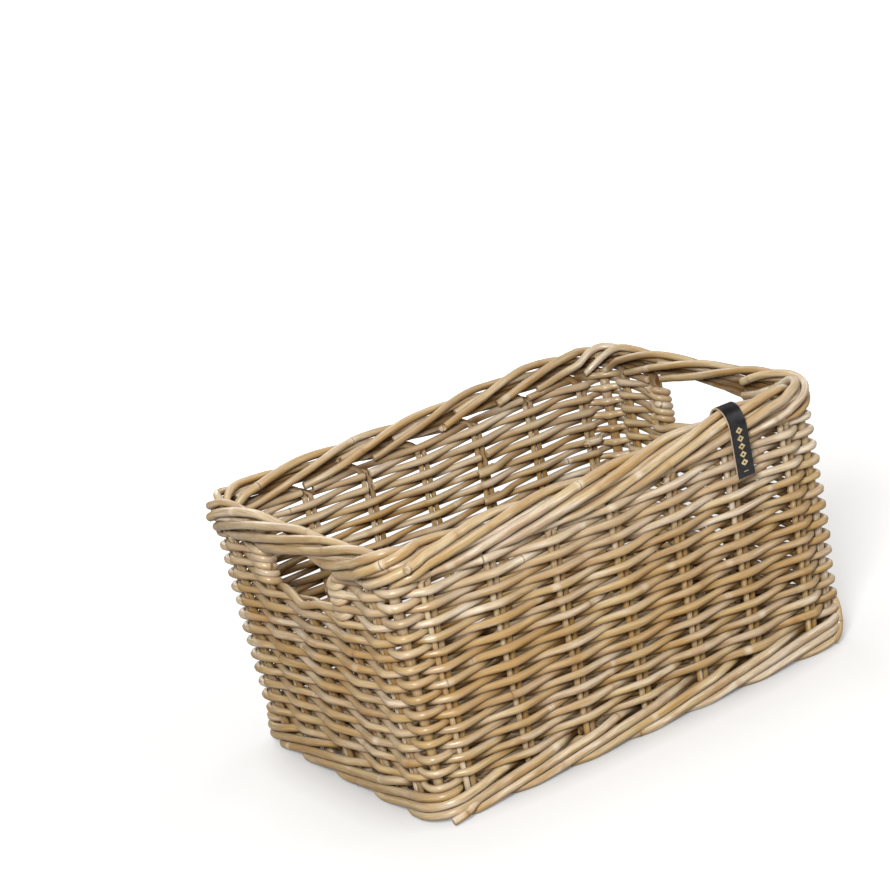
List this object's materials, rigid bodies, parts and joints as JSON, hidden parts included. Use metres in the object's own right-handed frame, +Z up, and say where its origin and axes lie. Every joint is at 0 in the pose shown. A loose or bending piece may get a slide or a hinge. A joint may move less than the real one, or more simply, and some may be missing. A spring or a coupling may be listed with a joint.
{
  "type": "bicycle basket",
  "caption": "Rectangular rattan bicycle basket with an over and under weave round paired stakes, a handle gap in each end, a plaited rim, a foot wale, a woven base and a leather tab.",
  "frame": {"origin": "middle of the underside that the basket stands on", "axes": "+X along the long side towards the end nearer the tab, -Y out of the long wall that carries the tab, +Z up"},
  "size_m": [0.5104, 0.3731, 0.2685],
  "materials": {
    "rattan_pale": "dry rattan with a soft sheen, pale",
    "rattan_straw": "dry rattan with a soft sheen, straw",
    "rattan_tan": "dry rattan with a soft sheen, tan",
    "rattan_grey": "dry rattan with a soft sheen, weathered grey",
    "rattan_brown": "dry rattan with a soft sheen, brown",
    "leather": "black grained leather with a tan cut edge"
  },
  "bodies": {
    "root": {"corner_post_front_left": "rattan_tan", "corner_post_front_right": "rattan_tan", "corner_post_back_right": "rattan_tan", "corner_post_back_left": "rattan_tan", "end_stake_left_1": "rattan_brown", "end_stake_left_2": "rattan_brown", "end_stake_left_3": "rattan_brown", "end_stake_left_4": "rattan_brown", "end_stake_left_5": "rattan_brown", "end_stake_right_1": "rattan_brown", "end_stake_right_2": "rattan_brown", "end_stake_right_3": "rattan_brown", "end_stake_right_4": "rattan_brown", "end_stake_right_5": "rattan_brown", "cross_stake_1": "rattan_brown", "cross_stake_2": "rattan_brown", "cross_stake_3": "rattan_brown", "cross_stake_4": "rattan_brown", "cross_stake_5": "rattan_brown", "cross_stake_6": "rattan_brown", "cross_stake_7": "rattan_brown", "foot_wale_1": "rattan_straw", "foot_wale_2": "rattan_tan", "foot_wale_3": "rattan_pale", "foot_wale_4": "rattan_grey", "weaver_course_01": "rattan_straw", "weaver_course_02": "rattan_tan", "weaver_course_03": "rattan_pale", "weaver_course_04": "rattan_grey", "weaver_course_05": "rattan_straw", "weaver_course_06": "rattan_straw", "weaver_course_07": "rattan_tan", "weaver_course_08": "rattan_pale", "weaver_course_09": "rattan_grey", "weaver_course_10": "rattan_straw", "weaver_course_11": "rattan_straw", "weaver_course_12": "rattan_tan", "weaver_course_13": "rattan_pale", "weaver_course_14": "rattan_grey", "weaver_course_15": "rattan_straw", "weaver_course_16": "rattan_straw", "weaver_course_17": "rattan_tan", "weaver_course_18": "rattan_pale", "weaver_course_19": "rattan_grey", "weaver_course_20": "rattan_straw", "weaver_course_21": "rattan_straw", "handle_weaver_front": "rattan_pale", "handle_weaver_back": "rattan_straw", "rim_rod_1": "rattan_straw", "rim_rod_2": "rattan_tan", "rim_rod_3": "rattan_pale", "rim_rod_4": "rattan_grey", "base_weaver": "rattan_tan", "rim_tab": "leather"}
  },
  "joints": []
}
